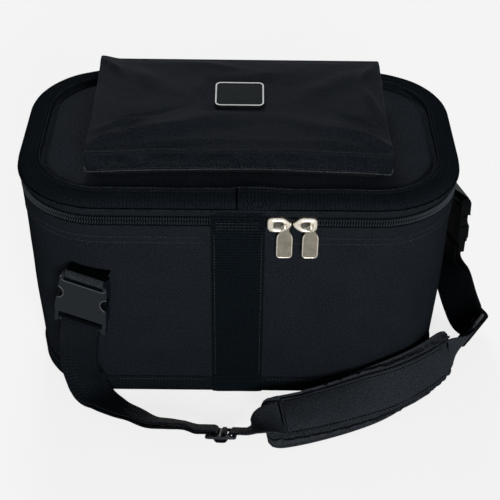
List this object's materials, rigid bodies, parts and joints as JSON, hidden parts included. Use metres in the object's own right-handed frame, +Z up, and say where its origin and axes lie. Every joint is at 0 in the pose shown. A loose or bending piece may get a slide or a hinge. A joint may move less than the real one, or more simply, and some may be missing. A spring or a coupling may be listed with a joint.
{
  "type": "drum pedal case",
  "caption": "Padded soft case for a drum pedal: zipped lid on a fabric hinge, flap pocket on top, and a padded shoulder strap on side-release buckles.",
  "frame": {"origin": "middle of the base, on the floor", "axes": "+X to the right of the case seen from the front, -Y the front with the zipper sliders, +Z up"},
  "size_m": [0.4766, 0.3353, 0.2812],
  "materials": {
    "nylon": "coated woven nylon, matt, near black",
    "webbing": "ribbed webbing and binding tape, black",
    "lining_cloth": "plain lining cloth, dark grey",
    "zip_coil": "nylon coil, black",
    "moulded_plastic": "moulded acetal, satin, black",
    "nickel": "nickel plate, lightly worn",
    "badge_rubber": "moulded rubber, grey, bare",
    "touch_tape": "hook and loop tape, black"
  },
  "bodies": {
    "case": {"side_wall": "nylon", "wall_lining": "lining_cloth", "base_panel": "nylon", "base_lining": "lining_cloth", "bottom_binding": "webbing", "front_web": "webbing", "lid_hinge_strip": "nylon", "zipper_tape_lower": "webbing", "zipper_teeth_lower": "zip_coil", "left_tab": "webbing", "right_tab": "webbing", "left_receptacle": "moulded_plastic", "right_receptacle": "moulded_plastic", "strap_left": "webbing", "strap_right": "webbing", "strap_middle": "webbing", "left_adjuster": "moulded_plastic", "right_adjuster": "moulded_plastic", "shoulder_pad": "nylon", "pad_channel": "nylon"},
    "lid": {"lid_gusset": "nylon", "lid_panel": "nylon", "lid_lining": "lining_cloth", "lid_border": "webbing", "zipper_tape_upper": "webbing", "zipper_teeth_upper": "zip_coil", "pocket_walls": "nylon", "pocket_loop_tape": "touch_tape"},
    "flap": {"pocket_flap": "nylon", "flap_hook_tape": "touch_tape", "badge": "badge_rubber"},
    "slider_left": {"slider_left": "nickel"},
    "slider_right": {"slider_right": "nickel"},
    "pull_left": {"pull_left": "nickel"},
    "pull_right": {"pull_right": "nickel"},
    "left_plug": {"left_plug": "moulded_plastic"},
    "right_plug": {"right_plug": "moulded_plastic"},
    "left_arm_a": {"left_arm_a": "moulded_plastic"},
    "left_arm_b": {"left_arm_b": "moulded_plastic"},
    "right_arm_a": {"right_arm_a": "moulded_plastic"},
    "right_arm_b": {"right_arm_b": "moulded_plastic"}
  },
  "joints": [
    {"name": "lid_hinge", "type": "hinge", "parent": "case", "child": "lid", "pos_m": [0, 0.1215, 0.2195], "axis": [-1, 0, 0], "range_deg": [0, 110], "deforming": ["lid_hinge_strip"]},
    {"name": "flap_hinge", "type": "hinge", "parent": "lid", "child": "flap", "pos_m": [0, 0.072, 0.2789], "axis": [-1, 0, 0], "range_deg": [0, 150]},
    {"name": "slider_left_run", "type": "slide", "parent": "case", "child": "slider_left", "axis": [1, 0, 0], "range_m": [-0.14, 0], "deforming": ["front_web"]},
    {"name": "slider_right_run", "type": "slide", "parent": "case", "child": "slider_right", "axis": [1, 0, 0], "range_m": [0, 0.055]},
    {"name": "pull_left_swing", "type": "hinge", "parent": "slider_left", "child": "pull_left", "pos_m": [0.04296, -0.12567, 0.2195], "axis": [-1, 0, 0], "range_deg": [0, 165]},
    {"name": "pull_right_swing", "type": "hinge", "parent": "slider_right", "child": "pull_right", "pos_m": [0.06676, -0.12567, 0.2195], "axis": [-1, 0, 0], "range_deg": [0, 165]},
    {"name": "left_plug_slide", "type": "slide", "parent": "case", "child": "left_plug", "axis": [-0.1504, 0.0431, -0.9877], "range_m": [0, 0.04], "deforming": ["strap_left", "left_arm_a", "left_arm_b"]},
    {"name": "right_plug_slide", "type": "slide", "parent": "case", "child": "right_plug", "axis": [0, 0, -1], "range_m": [0, 0.04], "deforming": ["strap_right", "right_arm_a", "right_arm_b"]},
    {"name": "left_arm_a_press", "type": "hinge", "parent": "left_plug", "child": "left_arm_a", "pos_m": [-0.16602, -0.12194, 0.12496], "axis": [0.2756, 0.9613, 0], "range_deg": [0, 8], "stiffness_Nm_per_rad": 0.02},
    {"name": "left_arm_b_press", "type": "hinge", "parent": "left_plug", "child": "left_arm_b", "pos_m": [-0.1309, -0.13201, 0.11917], "axis": [-0.2756, -0.9613, 0], "range_deg": [0, 8], "stiffness_Nm_per_rad": 0.02},
    {"name": "right_arm_a_press", "type": "hinge", "parent": "right_plug", "child": "right_arm_a", "pos_m": [0.23479, 0.01397, 0.11411], "axis": [-0.9511, -0.309, 0], "range_deg": [0, 8], "stiffness_Nm_per_rad": 0.02},
    {"name": "right_arm_b_press", "type": "hinge", "parent": "right_plug", "child": "right_arm_b", "pos_m": [0.22336, 0.04916, 0.11411], "axis": [0.9511, 0.309, 0], "range_deg": [0, 8], "stiffness_Nm_per_rad": 0.02}
  ]
}
